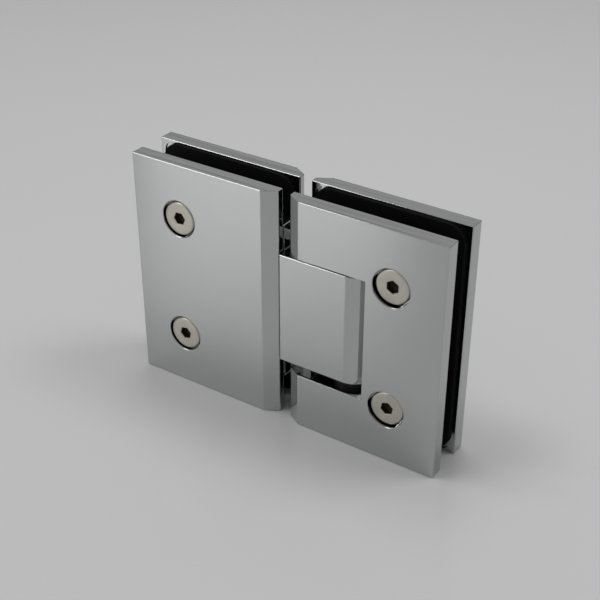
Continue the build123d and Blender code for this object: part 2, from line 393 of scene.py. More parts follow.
@dataclass(frozen=True)
class Graph:
    """A shader graph that nodes are added to."""

    tree: bpy.types.NodeTree

    def node(self, kind: str, settings: dict[str, Any], inputs: dict[Any, Any]) -> bpy.types.Node:
        """Add a node.

        Args:
            kind: The node's type.
            settings: Its properties, which are set first.
            inputs: Numbers, colours, values or sockets for its inputs, by identifier, name or place.

        Returns:
            The node.
        """
        made = self.tree.nodes.new(kind)
        for key, setting in settings.items():
            setattr(made, key, setting)
        by_identifier = {socket.identifier: socket for socket in made.inputs}
        for key, given in inputs.items():
            socket = by_identifier.get(key) or made.inputs[key]
            if isinstance(given, Value):
                self.tree.links.new(given.socket, socket)
            elif isinstance(given, bpy.types.NodeSocket):
                self.tree.links.new(given, socket)
            else:
                socket.default_value = given
        return made

    def value(self, kind: str, settings: dict[str, Any], inputs: dict[Any, Any], output: str) -> Value:
        """Add a node and give one of its outputs as a value."""
        return Value(self, self.node(kind, settings, inputs).outputs[output])

    def place(self) -> bpy.types.NodeSocket:
        """Give the point on the piece, in its Object coordinates."""
        return self.node("ShaderNodeTexCoord", {}, {}).outputs["Object"]

    def axes(self) -> tuple[Value, Value, Value]:
        """Give the point's X, Y and Z as values."""
        split = self.node("ShaderNodeSeparateXYZ", {}, {"Vector": self.place()})
        return tuple(Value(self, split.outputs[axis]) for axis in "XYZ")

    def noise(self, scale: float, stretch: Triple = (1, 1, 1), detail: float = 3) -> Value:
        """Give noise from 0 to 1, its grain stretched along the axes.

        Args:
            scale: Grains in a metre.
            stretch: Factors on the scale along X, Y and Z.
            detail: Finer layers.

        Returns:
            The noise as a value.
        """
        mapped = self.node("ShaderNodeMapping", {}, {"Vector": self.place(), "Scale": stretch})
        inputs = {"Vector": mapped.outputs[0], "Scale": scale, "Detail": detail}
        return self.value("ShaderNodeTexNoise", {}, inputs, "Fac")

    def blend(self, share: Value, low: Any, high: Any) -> bpy.types.NodeSocket:
        """Blend two colours.

        Args:
            share: 0 for the first colour, 1 for the second.
            low: The first colour, or a socket that gives it.
            high: The second colour, or a socket that gives it.

        Returns:
            The blended colour.
        """
        first, second = ((*given, 1) if isinstance(given, tuple) else given for given in (low, high))
        inputs = {"Factor_Float": share, "A_Color": first, "B_Color": second}
        return self.node("ShaderNodeMix", {"data_type": "RGBA"}, inputs).outputs[MIXED_COLOUR]

    def bump(self, height: Value, depth: float) -> bpy.types.NodeSocket:
        """Give the normal of a relief.

        Args:
            height: The relief, from 0 to 1.
            depth: How deep 1 is, in metres.

        Returns:
            The normal.
        """
        inputs = {"Height": height, "Distance": depth, "Strength": 1.0}
        return self.node("ShaderNodeBump", {}, inputs).outputs[0]

    def surface(self, inputs: dict[str, Any]) -> None:
        """Add a principled surface with some inputs, as the graph's result."""
        shader = self.node("ShaderNodeBsdfPrincipled", {}, inputs)
        self.node("ShaderNodeOutputMaterial", {}, {"Surface": shader.outputs[0]})


@dataclass(frozen=True)
class Finish:
    """A finish: its slot in the record, and the material that shows it."""

    name: str
    slot: str

    def material(self) -> bpy.types.Material:
        """Give the finish's material, made once."""
        found = bpy.data.materials.get(self.name)
        if found is None:
            found = bpy.data.materials.new(self.name)
            found.use_nodes = True
            found.node_tree.nodes.clear()
            self.paint(Graph(found.node_tree))
        return found

    def paint(self, graph: Graph) -> None:
        """Add the finish's nodes to an empty graph."""
        raise NotImplementedError


@dataclass(frozen=True)
class PolishedChrome(Finish):
    """Mirror chrome on brass: a faint bloom in its colour, wiping marks in its gloss, a trace of waviness.

    The plates' ends, above and below a height, keep grinding marks along X.
    """

    name: str = "polished_chrome"
    slot: str = "chrome"
    clear: Colour = (0.495, 0.5, 0.498)
    bloom: Colour = (0.47, 0.475, 0.478)
    cloud_scale: float = 26
    gloss: float = 0.055
    wipe: float = 0.05
    wipe_scale: float = 150
    wipe_stretch: Triple = (1.0, 0.4, 0.25)
    waviness: float = 2e-6
    wave_scale: float = 60
    ground: Colour = (0.33, 0.333, 0.335)
    ground_height: float = 0.0449
    ground_edge: float = 0.0001
    ground_gloss: float = 0.12
    mark_scale: float = 1500
    mark_stretch: Triple = (0.012, 1.0, 0.012)
    mark_range: tuple[float, float] = (0.42, 0.75)

    def paint(self, graph: Graph) -> None:
        """Add the chrome's nodes to an empty graph."""
        _, _, z = graph.axes()
        cloud = graph.noise(self.cloud_scale, detail=2)
        wiping = graph.noise(self.wipe_scale, self.wipe_stretch, detail=4)
        ends = abs(z).ramp(self.ground_height - self.ground_edge, self.ground_height)
        marks = ends * graph.noise(self.mark_scale, self.mark_stretch, detail=2).ramp(*self.mark_range)
        polish = graph.blend(cloud, self.clear, self.bloom)
        graph.surface({
            "Base Color": graph.blend(marks, polish, self.ground),
            "Metallic": 1.0,
            "Roughness": self.gloss + self.wipe * wiping * cloud + self.ground_gloss * ends,
            "Normal": graph.bump(graph.noise(self.wave_scale, detail=1), self.waviness),
        })


@dataclass(frozen=True)
class TurnedSteel(Finish):
    """Satin stainless steel with the rings that turning leaves, centred on each screw of a pair.

    The key sockets and the heads' sides carry painted shade, near black: the mask rises with the depth below
    the head's face, sooner inside the socket's radius, and outside it falls again where the thread begins.
    """

    name: str = "turned_steel"
    slot: str = "satin_stainless"
    centre_x: float = 0.0
    centre_z: float = 0.024
    face_y: float = -0.0105
    socket_radius: float = 0.0026
    head_height: float = 0.0026
    bright: Colour = (0.59, 0.56, 0.502)
    dull: Colour = (0.46, 0.435, 0.386)
    # painted shade: the near-black colour laid into the key sockets and on the heads' sides, standing in for
    # the shade in these recesses
    scale: Colour = (0.06, 0.052, 0.035)
    shade_depth: float = 0.0003
    shade_start: float = 0.1
    shade_gloss: float = 0.4
    side_shade_depth: float = 0.0007
    side_end: float = 0.95
    socket_edge: float = 1.05
    ring_pitch: float = 0.0003
    ring_gloss: float = 0.05
    ring_share: float = 0.6
    grain_scale: float = 900
    grain_gloss: float = 0.12
    mottle_scale: float = 240
    gloss: float = 0.24
    relief: float = 6e-6

    def paint(self, graph: Graph) -> None:
        """Add the steel's nodes to an empty graph."""
        x, y, z = graph.axes()
        across, up = x - self.centre_x, abs(z) - self.centre_z
        radius = (across * across + up * up).root()
        rings = 0.5 + 0.5 * (radius * (2 * math.pi / self.ring_pitch)).sine()
        grain = graph.noise(self.grain_scale, detail=3)
        mottle = graph.noise(self.mottle_scale, detail=3)
        depth = y - self.face_y
        # painted shade: one mask darkens the key socket, another the head's side in the bore down to the
        # thread, and painted_shade joins them
        inside = 1 - radius.ramp(self.socket_radius, self.socket_edge * self.socket_radius)
        thread = depth.ramp(self.side_end * self.head_height, self.head_height)
        side = depth.ramp(self.shade_depth, self.side_shade_depth) * (1 - thread)
        socket_shade = depth.ramp(self.shade_start * self.shade_depth, self.shade_depth)
        painted_shade = inside * socket_shade + (1 - inside) * side
        wear = self.grain_gloss * grain + self.ring_gloss * rings
        steel = graph.blend(mottle, self.bright, self.dull)
        graph.surface({
            "Base Color": graph.blend(painted_shade, steel, self.scale),
            "Metallic": 1.0,
            "Roughness": self.gloss + wear + self.shade_gloss * painted_shade,
            "Normal": graph.bump(rings * self.ring_share + grain * (1 - self.ring_share), self.relief),
        })


@dataclass(frozen=True)
class MachinedMetal(Finish):
    """Plain machined metal: fine cutting marks along one axis and a mottled tone."""

    name: str = "machined_steel"
    slot: str = "inner_steel"
    bright: Colour = (0.55, 0.55, 0.55)
    dull: Colour = (0.4, 0.4, 0.405)
    gloss: float = 0.26
    mark_scale: float = 1200
    mark_stretch: Triple = (0.2, 0.2, 6.0)
    mark_gloss: float = 0.18
    mottle_scale: float = 180
    relief: float = 8e-6

    def paint(self, graph: Graph) -> None:
        """Add the metal's nodes to an empty graph."""
        cutting = graph.noise(self.mark_scale, self.mark_stretch, detail=2)
        mottle = graph.noise(self.mottle_scale, detail=3)
        graph.surface({
            "Base Color": graph.blend(mottle, self.bright, self.dull),
            "Metallic": 1.0,
            "Roughness": self.gloss + self.mark_gloss * cutting,
            "Normal": graph.bump(cutting, self.relief),
        })


@dataclass(frozen=True)
class Moulding(Finish):
    """Moulded rubber or plastic: a fine grain, and dull patches where it has been handled."""

    name: str = "black_rubber"
    slot: str = "gasket_rubber"
    tone: Colour = (0.003, 0.003, 0.0033)
    worn: Colour = (0.006, 0.006, 0.0064)
    gloss: float = 0.6
    grain_scale: float = 2500
    shine: float = 0.12
    patch_scale: float = 130
    patch_gloss: float = 0.2
    relief: float = 1.5e-5

    def paint(self, graph: Graph) -> None:
        """Add the moulding's nodes to an empty graph."""
        patches = graph.noise(self.patch_scale, detail=4)
        grain = graph.noise(self.grain_scale, detail=2)
        graph.surface({
            "Base Color": graph.blend(patches, self.tone, self.worn),
            "Roughness": self.gloss + self.patch_gloss * patches,
            "Specular IOR Level": self.shine,
            "Normal": graph.bump(grain, self.relief),
        })


CHROME = PolishedChrome()
RUBBER = Moulding()
NYLON = Moulding(
    "black_nylon", "nylon", tone=(0.016, 0.016, 0.017), worn=(0.03, 0.03, 0.032), gloss=0.34,
    grain_scale=1600,
)
STEEL = MachinedMetal()
BRASS = MachinedMetal(
    "machined_brass", "brass", bright=(0.72, 0.53, 0.24), dull=(0.56, 0.4, 0.17), gloss=0.22,
)
# painted shade: a darkened copy of the brass for the pin carriers, which sit in the shaded gap between the
# plates
BRASS_IN_PAINTED_SHADE = MachinedMetal(
    "blackened_brass", "blackened_brass", bright=(0.055, 0.046, 0.033), dull=(0.035, 0.03, 0.022), gloss=0.5,
)


# Pieces of the hinge


def drawn_in(low: float, high: float, rounding: float, steps: int = 5) -> tuple[np.ndarray, np.ndarray]:
    """Give the stops of a body whose two ends are rounded by quarter circles.

    Args:
        low: The lower end.
        high: The higher end.
        rounding: The ends' rounding.
        steps: Stops at each end.

    Returns:
        The growth at each stop, from the rounding inwards to 0 and back, and the stops' heights.
    """
    angle = np.linspace(0, math.pi / 2, steps)
    inset, rise = rounding * (np.sin(angle) - 1), rounding * (1 - np.cos(angle))
    growth = np.concatenate([inset, inset[::-1]])
    return growth, np.concatenate([low + rise, high - rise[::-1]])


def sunk(outline: Outline, mouth: float, depth: float, rounding: float, inward: int, along: Along) -> Skin:
    """Make a cutter for a hole with a soft mouth.

    The outline grows along a quarter circle towards the mouth, and runs on outside it.

    Args:
        outline: The hole's outline.
        mouth: Where the face that it is cut from lies on the axis.
        depth: How deep it goes.
        rounding: The mouth's rounding.
        inward: The sign of the way in.
        along: The hole's axis.

    Returns:
        The cutter.
    """
    angle = np.linspace(0, math.pi / 2, MOUTH_STEPS)
    growth = np.concatenate([[rounding], rounding * (1 - np.sin(angle)), [0]])
    level = np.concatenate([[-OVERRUN], rounding * (1 - np.cos(angle)), [depth]])
    return outline.carried(growth, mouth + inward * level, along)


@dataclass
class SocketScrew:
    """A screw with a hexagon socket and a rolled thread, as one surface of angle and station.

    A station has a radius, a place along the screw, and how far it is a hexagon. The radius at an angle is
    the station's, times one over the cosine of the angle from the nearest flat where it is a hexagon, less
    the thread: a triangle wave of the angle over a turn, less the place over the pitch.
    """

    style: HeadStyle
    head_radius: float
    head_height: float
    shank_radius: float
    length: float
    socket: float
    socket_depth: float
    pitch: float
    lip: float = 0.12
    drill_share: float = 0.3
    head_round: float = 0.8
    bevel: float = 0.35
    rim: float = 0.1
    pole: float = 0.001
    thread_gap: float = 0.8
    thread_share: float = 0.54
    columns: int = 96
    round_steps: int = 7
    turn_rows: int = 8
    face_shares: tuple[float, ...] = (0.35, 0.7)
    rim_shares: tuple[float, ...] = (0.5, 1.0)

    def stations(self) -> np.ndarray:
        """Give the stations from the socket's floor round the head to the tip.

        Returns:
            Rows of radius, place, hexagon share and thread share.
        """
        flat = self.socket / 2
        rows = [
            (self.pole, self.socket_depth + self.drill_share * flat, 1, 0),
            (flat, self.socket_depth, 1, 0),
            (flat, self.lip, 1, 0),
            (flat + self.lip, 0, 1, 0),
        ]
        if self.style is HeadStyle.FLAT:
            turn = np.linspace(0, math.pi / 2, self.round_steps)
            inner = self.head_radius - self.head_round
            rows += [(flat + (inner - flat) * share, 0, 1 - share, 0) for share in self.face_shares]
            reach, depth = inner + self.head_round * np.sin(turn), self.head_round * (1 - np.cos(turn))
            rows += [(radius, place, 0, 0) for radius, place in zip(reach, depth)]
            rows += [(self.head_radius, self.head_height, 0, 0), (self.shank_radius, self.head_height, 0, 0)]
        elif self.style is HeadStyle.COUNTERSUNK:
            inner = self.head_radius - self.rim
            rows += [(flat + (inner - flat) * share, 0, 1 - share, 0) for share in self.rim_shares]
            rows += [(self.head_radius, self.rim, 0, 0), (self.shank_radius, self.head_height, 0, 0)]
        else:
            rows += [(self.shank_radius - self.bevel, 0, 0, 0), (self.shank_radius, self.bevel, 0, 0)]
        first = rows[-1][1] + self.thread_gap
        last = self.length - self.bevel
        places = np.linspace(first, last, 2 + int((last - first) / self.pitch * self.turn_rows))
        depth = np.clip(np.minimum(places - first, last - places) / self.pitch, 0, 1)
        thread = np.stack([np.full_like(places, self.shank_radius), places, 0 * places, depth], axis=1)
        tip = [(self.shank_radius - self.bevel, self.length, 0, 0), (self.pole, self.length, 0, 0)]
        return np.concatenate([np.array(rows, float), thread, np.array(tip, float)])

    def skin(self, origin: Sequence[float], axis: Sequence[float], turn: float = 0) -> Skin:
        """Make the screw's surface.

        Args:
            origin: The middle of the head's face.
            axis: The way from the head to the tip.
            turn: How far the socket is turned, in degrees.

        Returns:
            The closed skin.
        """
        radius, place, hexagon, thread = self.stations().T[:, :, None]
        angle = np.linspace(0, 2 * math.pi, self.columns, endpoint=False)[None, :]
        from_flat = np.mod(angle, math.pi / 3) - math.pi / 6
        reach = radius * (1 + hexagon * (1 / np.cos(from_flat) - 1))
        phase = np.mod(angle / (2 * math.pi) - place / self.pitch, 1)
        reach = reach - thread * self.thread_share * self.pitch * np.abs(2 * phase - 1)
        ahead = np.asarray(axis, float)
        side = np.cross(ahead, (0, 0, 1.0))
        up = np.cross(side, ahead)
        turned = angle + math.radians(turn)
        ring = np.cos(turned)[..., None] * side + np.sin(turned)[..., None] * up
        return Skin.wrapped(np.asarray(origin) + place[..., None] * ahead + reach[..., None] * ring)


@dataclass
class CountersunkPair:
    """Two countersunk screws, below and above, that hold the block or the pin carriers to a back plate."""

    node: str
    head_radius: float
    shank_radius: float
    pitch: float
    socket_share: float = 0.38
    socket_depth: float = 1.6
    fit: float = 0.05

    def places(self) -> list[tuple[float, float]]:
        """Give the X and Z of the lower and upper screws."""
        low, high = node_box(self.node)
        x, z = (low[0] + high[0]) / 2, high[2] - self.head_radius
        return [(x, -z), (x, z)]

    def holes(self) -> list[Skin]:
        """Make the cutters for the screws' countersunk holes: circles that close from the head to the shank.

        Returns:
            A cutter for each screw.
        """
        low, high = node_box(self.node)
        closing = self.shank_radius - self.head_radius
        growth = [self.fit, self.fit, self.fit + closing, self.fit + closing]
        levels = [low[1] - OVERRUN, low[1], low[1] - closing, high[1]]
        rims = [Outline.circle(place, self.head_radius, HOLE_STEPS) for place in self.places()]
        return [rim.carried(growth, levels, Along.Y) for rim in rims]

    def build(self, body: str) -> None:
        """Build and dress the pair on a body."""
        low, high = node_box(self.node)
        screw = SocketScrew(
            HeadStyle.COUNTERSUNK, head_radius=self.head_radius, shank_radius=self.shank_radius,
            head_height=self.head_radius - self.shank_radius, length=high[1] - low[1], pitch=self.pitch,
            socket=2 * self.socket_share * self.head_radius, socket_depth=self.socket_depth,
        )
        lower, upper = (screw.skin((x, low[1], z), (0, 1, 0)) for x, z in self.places())
        dressed(lower.joined(upper).placed(f"{self.node}_steel"), body, [self.node], STEEL)


@dataclass
class GrubScrews:
    """Headless screws along X that share a node, one at each height, their sockets all on one side."""

    node: str
    body: str
    heights: tuple[float, ...]
    socket_side: int
    socket: float
    socket_depth: float
    pitch: float

    def build(self) -> None:
        """Build and dress the screws."""
        low, high = node_box(self.node)
        radius = (high[1] - low[1]) / 2
        face = high[0] if self.socket_side > 0 else low[0]
        screw = SocketScrew(
            HeadStyle.GRUB, head_radius=radius, head_height=0, shank_radius=radius, length=high[0] - low[0],
            pitch=self.pitch, socket=self.socket, socket_depth=self.socket_depth, thread_gap=0,
        )
        skins = [screw.skin((face, 0, height), (-self.socket_side, 0, 0)) for height in self.heights]
        whole = skins[0] if len(skins) == 1 else skins[0].joined(skins[1])
        dressed(whole.placed(f"{self.node}_steel"), self.body, [self.node], STEEL)


@dataclass
class ClampLeaf:
    """One leaf: two chamfered plates, their gaskets, and the screws that draw them together."""

    side: Side
    body: str
    screw_turns: tuple[float, float]
    held: CountersunkPair
    chamfer_width: float = 5.2
    chamfer_land: float = 2.6
    chamfer_round: float = 1.0
    edge_round: float = 0.4
    rim_round: float = 0.3
    mouth_round: float = 0.3
    notch_round: float = 0.12
    notch_corner: float = 0.25
    notch_steps: int = 4
    head_radius: float = 6.45
    head_height: float = 2.6
    head_clearance: float = 0.55
    shank_radius: float = 3.0
    shank_clearance: float = 0.3
    socket: float = 4.2
    socket_depth: float = 2.0
    socket_lip: float = 0.2
    thread_pitch: float = 1.0
    hole_depth: float = 4.4
    hole_fit: float = 0.05
    pocket_depth: float = 0.5
    pocket_corner: float = 4.0
    pocket_fit: float = 0.15
    gasket_corner: float = 6.5
    gasket_rim: float = 0.25
    gasket_steps: int = 4
    cutout_margin: float = 1.2
    cutout_corner: float = 3.0
    sleeve_radius: float = 5.0
    tongue_setback: float = 0.3
    nose_clearance: float = 0.8

    @property
    def label(self) -> str:
        """The leaf's name in the frame's nodes."""
        return self.side.name.lower()

    def node(self, what: str) -> str:
        """Give the name of one of the leaf's nodes."""
        return f"{self.label}_{what}"

    def screw_places(self) -> list[tuple[float, float]]:
        """Give the X and Z of the lower and upper clamp screws."""
        low, high = node_box(self.node("clamp_screws"))
        x, z = (low[0] + high[0]) / 2, high[2] - self.head_radius
        return [(x, -z), (x, z)]

    def section(self, face: Face) -> Outline:
        """Give a plate's section: flat, with a long chamfer towards the other leaf and soft corners.

        Args:
            face: Which plate.

        Returns:
            The section in X and Y.
        """
        low, high = node_box(self.node(f"{face.name.lower()}_plate"))
        edge, outer = sorted(np.abs([low[0], high[0]]))
        inner, front = sorted(np.abs([low[1], high[1]]))
        corners = [
            (edge, inner),
            (edge, inner + self.chamfer_land),
            (edge + self.chamfer_width, front),
            (outer, front),
            (outer, inner),
        ]
        radii = [self.edge_round, self.chamfer_round, self.chamfer_round, self.edge_round, self.edge_round]
        return Outline.rounded([(self.side.value * x, face.value * y) for x, y in corners], radii)

    def gasket_outline(self, corner: float) -> Outline:
        """Give the C that lines a plate, open towards the other leaf round the block or the pin carriers.

        Args:
            corner: The radius of its four outer corners.

        Returns:
            The outline in X and Z.
        """
        low, high = node_box(self.node("front_gasket"))
        edge, outer = sorted(np.abs([low[0], high[0]]))
        block_low, block_high = node_box("pivot_block")
        if self.side is Side.DOOR:
            reach = block_high[0] + self.nose_clearance + self.cutout_margin
            gap = node_box("upper_pin_carrier")[1][2] + self.cutout_margin
        else:
            reach = abs(block_low[0]) + self.tongue_setback + self.cutout_margin
            gap = block_high[2] + self.cutout_margin
        top, rim = high[2], 2 * self.gasket_rim
        corners = [
            (edge, top), (outer, top), (outer, -top), (edge, -top),
            (edge, -gap), (reach, -gap), (reach, gap), (edge, gap),
        ]
        end = min(corner, top - gap - rim)
        radii = [end, corner, corner, end, rim, self.cutout_corner, self.cutout_corner, rim]
        return Outline.rounded([(self.side.value * x, z) for x, z in corners], radii)

    def build_plate(self, face: Face) -> bpy.types.Object:
        """Build a plate: its section carried up and drawn in at its ends, with pocket, holes and notch cut.

        Args:
            face: Which plate.

        Returns:
            The plate, in millimetres.
        """
        node = self.node(f"{face.name.lower()}_plate")
        low, high = node_box(node)
        inner, outer = sorted(np.abs([low[1], high[1]]))
        ends = drawn_in(low[2], high[2], self.rim_round)
        piece = self.section(face).carried(*ends, Along.Z).placed(f"{node}_chrome")
        cutters = [self.pocket(face)]
        for x, z in self.screw_places():
            if face is Face.FRONT:
                bore = Outline.circle((x, z), self.head_radius + self.head_clearance, BORE_STEPS)
                hole = Outline.circle((x, z), self.shank_radius + self.shank_clearance, HOLE_STEPS)
                depth = node_box(self.node("clamp_screws"))[0][1] + outer + self.head_height
                cutters.append(sunk(bore, -outer, depth, self.mouth_round, 1, Along.Y))
                cutters.append(hole.carried([0, 0], [-outer - OVERRUN, OVERRUN - inner], Along.Y))
            else:
                cutters.append(self.tapped((x, z), self.shank_radius, inner))
        if face is Face.BACK:
            cutters += [self.tapped(place, self.held.shank_radius, inner) for place in self.held.places()]
        if self.side is Side.DOOR:
            cutters.append(self.notch(face, outer))
        shaped(piece, "DIFFERENCE", cutters)
        return piece

    def tapped(self, place: tuple[float, float], radius: float, inner: float) -> Skin:
        """Make the cutter for a blind tapped hole in a back plate's inner face."""
        hole = Outline.circle(place, radius + self.hole_fit, HOLE_STEPS)
        return hole.carried([0, 0], [inner - OVERRUN, inner + self.hole_depth], Along.Y)

    def pocket(self, face: Face) -> Skin:
        """Make the cutter for the shallow pocket that a gasket lies in."""
        inner = sorted(np.abs([box[1] for box in node_box(self.node(f"{face.name.lower()}_plate"))]))[0]
        outline = self.gasket_outline(self.pocket_corner - self.pocket_fit)
        span = [face.value * (inner - OVERRUN), face.value * (inner + self.pocket_depth)]
        return outline.carried([self.pocket_fit] * 2, span, Along.Y)

    def notch(self, face: Face, outer: float) -> Skin:
        """Make the cutter for the notch round the block's nose, its mouth soft."""
        right = node_box("pivot_block")[1][0] + self.nose_clearance
        top = node_box("upper_pin_carrier")[0][2]
        corners = [(-OVERRUN, top), (right, top), (right, -top), (-OVERRUN, -top)]
        outline = Outline.rounded(corners, self.notch_corner, self.notch_steps)
        return sunk(outline, face.value * outer, outer - OVERRUN, self.notch_round, -face.value, Along.Y)

    def build_gasket(self, face: Face) -> bpy.types.Object:
        """Build a gasket: its outline carried through, drawn in at both faces, with holes for the sleeves.

        Args:
            face: Which plate it lies on.

        Returns:
            The gasket, in millimetres.
        """
        node = self.node(f"{face.name.lower()}_gasket")
        low, high = node_box(node)
        ends = drawn_in(low[1], high[1], self.gasket_rim, self.gasket_steps)
        piece = self.gasket_outline(self.gasket_corner).carried(*ends, Along.Y).placed(f"{node}_rubber")
        holes = [Outline.circle(place, self.sleeve_radius, HOLE_STEPS) for place in self.screw_places()]
        span = [low[1] - OVERRUN, high[1] + OVERRUN]
        shaped(piece, "DIFFERENCE", [hole.carried([0, 0], span, Along.Y) for hole in holes])
        return piece

    def build_screws(self) -> bpy.types.Object:
        """Build the pair of clamp screws."""
        node = self.node("clamp_screws")
        low, high = node_box(node)
        screw = SocketScrew(
            HeadStyle.FLAT, head_radius=self.head_radius, head_height=self.head_height,
            shank_radius=self.shank_radius, length=high[1] - low[1], pitch=self.thread_pitch,
            socket=self.socket, socket_depth=self.socket_depth, lip=self.socket_lip,
        )
        skins = [
            screw.skin((x, low[1], z), (0, 1, 0), turn)
            for (x, z), turn in zip(self.screw_places(), self.screw_turns)
        ]
        return skins[0].joined(skins[1]).placed(f"{node}_steel")

    def build(self) -> None:
        """Build and dress the leaf."""
        for face in Face:
            label = face.name.lower()
            dressed(self.build_plate(face), self.body, [self.node(f"{label}_plate")], CHROME)
            dressed(self.build_gasket(face), self.body, [self.node(f"{label}_gasket")], RUBBER)
        x, z = self.screw_places()[1]
        face_y = node_box(self.node("clamp_screws"))[0][1]
        finish = TurnedSteel(
            f"turned_steel_{self.label}", centre_x=x * MM, centre_z=z * MM, face_y=face_y * MM,
            socket_radius=(self.socket + 2 * self.socket_lip) / math.sqrt(3) * MM,
            head_height=self.head_height * MM,
        )
        dressed(self.build_screws(), self.body, [self.node("clamp_screws")], finish)
        self.held.build(self.body)


def detent_height(name: str) -> float:
    """Give the height of the lower or the upper plunger's axis."""
    low, high = node_box(f"{name}_detent_plunger")
    return (low[2] + high[2]) / 2


@dataclass
class PivotBlock:
    """The block: a nose rounded about the pin, joined to a taller tongue between the fixed plates."""

    body: str = "fixed_leaf"
    rim_round: float = 0.4
    shoulder_round: float = 0.5
    tongue_length: float = 20.0
    tongue_gap: float = 0.2
    tongue_corner: float = 0.8
    tongue_round: float = 0.08
    nose_steps: int = 40
    pin_bore: float = 5.3
    bush_seat: float = 6.32
    bush_length: float = 7.0
    plunger_bore: float = 3.7

    def build(self, screws: CountersunkPair) -> None:
        """Build and dress the block: the nose's section carried up the pin, the tongue's outline through it.

        Args:
            screws: The screws that hold it, whose holes are cut.
        """
        low, high = node_box("pivot_block")
        pin_low, pin_high = node_box("pivot_pin")
        pin_x = (pin_low[0] + pin_high[0]) / 2
        half = node_box("upper_thrust_washer")[0][2]
        nose = high[0] - pin_x
        shoulder = low[0] + self.tongue_length
        corners = [(shoulder, -nose), (high[0], -nose), (high[0], nose), (shoulder, nose)]
        radii = [self.shoulder_round, nose * HALF_ROUND, nose * HALF_ROUND, self.shoulder_round]
        section = Outline.rounded(corners, radii, self.nose_steps)
        ends = drawn_in(-half, half, self.rim_round)
        piece = section.carried(*ends, Along.Z).placed("pivot_block_chrome")
        corners = [(low[0], low[2]), (shoulder, low[2]), (shoulder, high[2]), (low[0], high[2])]
        tongue = Outline.rounded(corners, self.tongue_corner)
        inner = node_box("fixed_back_plate")[0][1]
        depth = drawn_in(self.tongue_gap - inner, inner, self.tongue_round)
        shaped(piece, "UNION", [tongue.carried(*depth, Along.Y)])
        end = half + OVERRUN
        bores = [Outline.circle((pin_x, 0), self.pin_bore).carried([0, 0], [-end, end], Along.Z)]
        seat = Outline.circle((pin_x, 0), self.bush_seat)
        for sign in (-1, 1):
            bores.append(seat.carried([0, 0], [sign * (half - self.bush_length), sign * end], Along.Z))
        for name in DETENTS:
            bore = Outline.circle((0, detent_height(name)), self.plunger_bore)
            bores.append(bore.carried([0, 0], [low[0] - OVERRUN, pin_x], Along.X))
        shaped(piece, "DIFFERENCE", bores + screws.holes())
        dressed(piece, self.body, ["pivot_block"], CHROME)


@dataclass
class DetentSpring:
    """A spring of round wire behind a plunger, its end turns closed.

    The wire's middle runs round the plunger's axis, and its X rises evenly over the open turns and by the
    closed pitch over each end turn. The surface is a circle carried along it, square to the way.
    """

    name: str
    wire: float = 0.9
    turns: int = 6
    closed_pitch: float = 0.95
    turn_steps: int = 40
    wire_steps: int = 12

    def build(self) -> None:
        """Build and dress the spring."""
        node = f"{self.name}_detent_spring"
        low, high = node_box(node)
        half, height = self.wire / 2, detent_height(self.name)
        first, last = low[0] + half, high[0] - half
        stops = [first, first + self.closed_pitch, last - self.closed_pitch, last]
        turn = np.linspace(0, self.turns, self.turns * self.turn_steps + 1)
        along = np.interp(turn, [0, 1, self.turns - 1, self.turns], stops)
        angle = 2 * math.pi * turn
        out = np.stack([0 * angle, np.cos(angle), np.sin(angle)], axis=1)
        axis = np.stack([along, 0 * along, np.full_like(along, height)], axis=1)
        middle = axis + ((high[1] - low[1]) / 2 - half) * out
        way = np.gradient(middle, axis=0)
        across = np.cross(way, out)
        across /= np.linalg.norm(across, axis=1, keepdims=True)
        round_wire = np.linspace(0, 2 * math.pi, self.wire_steps, endpoint=False)[None, :, None]
        ring = np.cos(round_wire) * out[:, None] + np.sin(round_wire) * across[:, None]
        piece = Skin.wrapped(middle[:, None] + half * ring).placed(f"{node}_steel")
        finished(piece, [node], STEEL)
        start, end = ((x * MM, 0, height * MM) for x in stops[1:3])
        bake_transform(piece)


@dataclass
class InnerWorks:
    """The pieces inside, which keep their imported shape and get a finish."""

    finishes: tuple[tuple[Finish, tuple[str, ...]], ...] = (
        (NYLON, (
            "fixed_screw_sleeves", "door_screw_sleeves", "upper_bush", "lower_bush",
            "upper_thrust_washer", "lower_thrust_washer",
        )),
        # the pin carriers get the darkened brass, which is painted shade
        (BRASS_IN_PAINTED_SHADE, ("upper_pin_carrier", "lower_pin_carrier")),
        (BRASS, ("upper_detent_plunger", "lower_detent_plunger")),
        (STEEL, ("pivot_pin",)),
    )

    def build(self) -> None:
        """Give each node its finish."""
        for finish, nodes in self.finishes:
            for node in nodes:
                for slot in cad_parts[node].material_slots:
                    slot.material = finish.material()
                log.info("%s: %s", node, finish.name)


# Studio


@dataclass(frozen=True)
class Softbox:
    """A lamp that faces the hinge.

    The way towards it is a bearing, clockwise from the front and seen from above, and a height, both in
    degrees. Distance and size are in metres, the power in watts.
    """

    name: str
    task: Task
    towards: tuple[float, float]
    distance: float
    size: tuple[float, float]
    power: float

    def build(self) -> None:
        """Hang the lamp, for its task only."""
        lamp = bpy.data.lights.new(self.name, "AREA")
        lamp.shape = "RECTANGLE"
        lamp.size, lamp.size_y = self.size
        lamp.energy = self.power
        holder = bpy.data.objects.new(self.name, lamp)
        holder.visible_diffuse, holder.visible_glossy = self.task.value
        bearing, height = np.radians(self.towards)
        way = Vector((
            -math.sin(bearing) * math.cos(height),
            -math.cos(bearing) * math.cos(height),
            math.sin(height),
        ))
        holder.location = way * self.distance
        holder.rotation_euler = way.to_track_quat("Z", "Y").to_euler()
        bpy.context.scene.collection.objects.link(holder)


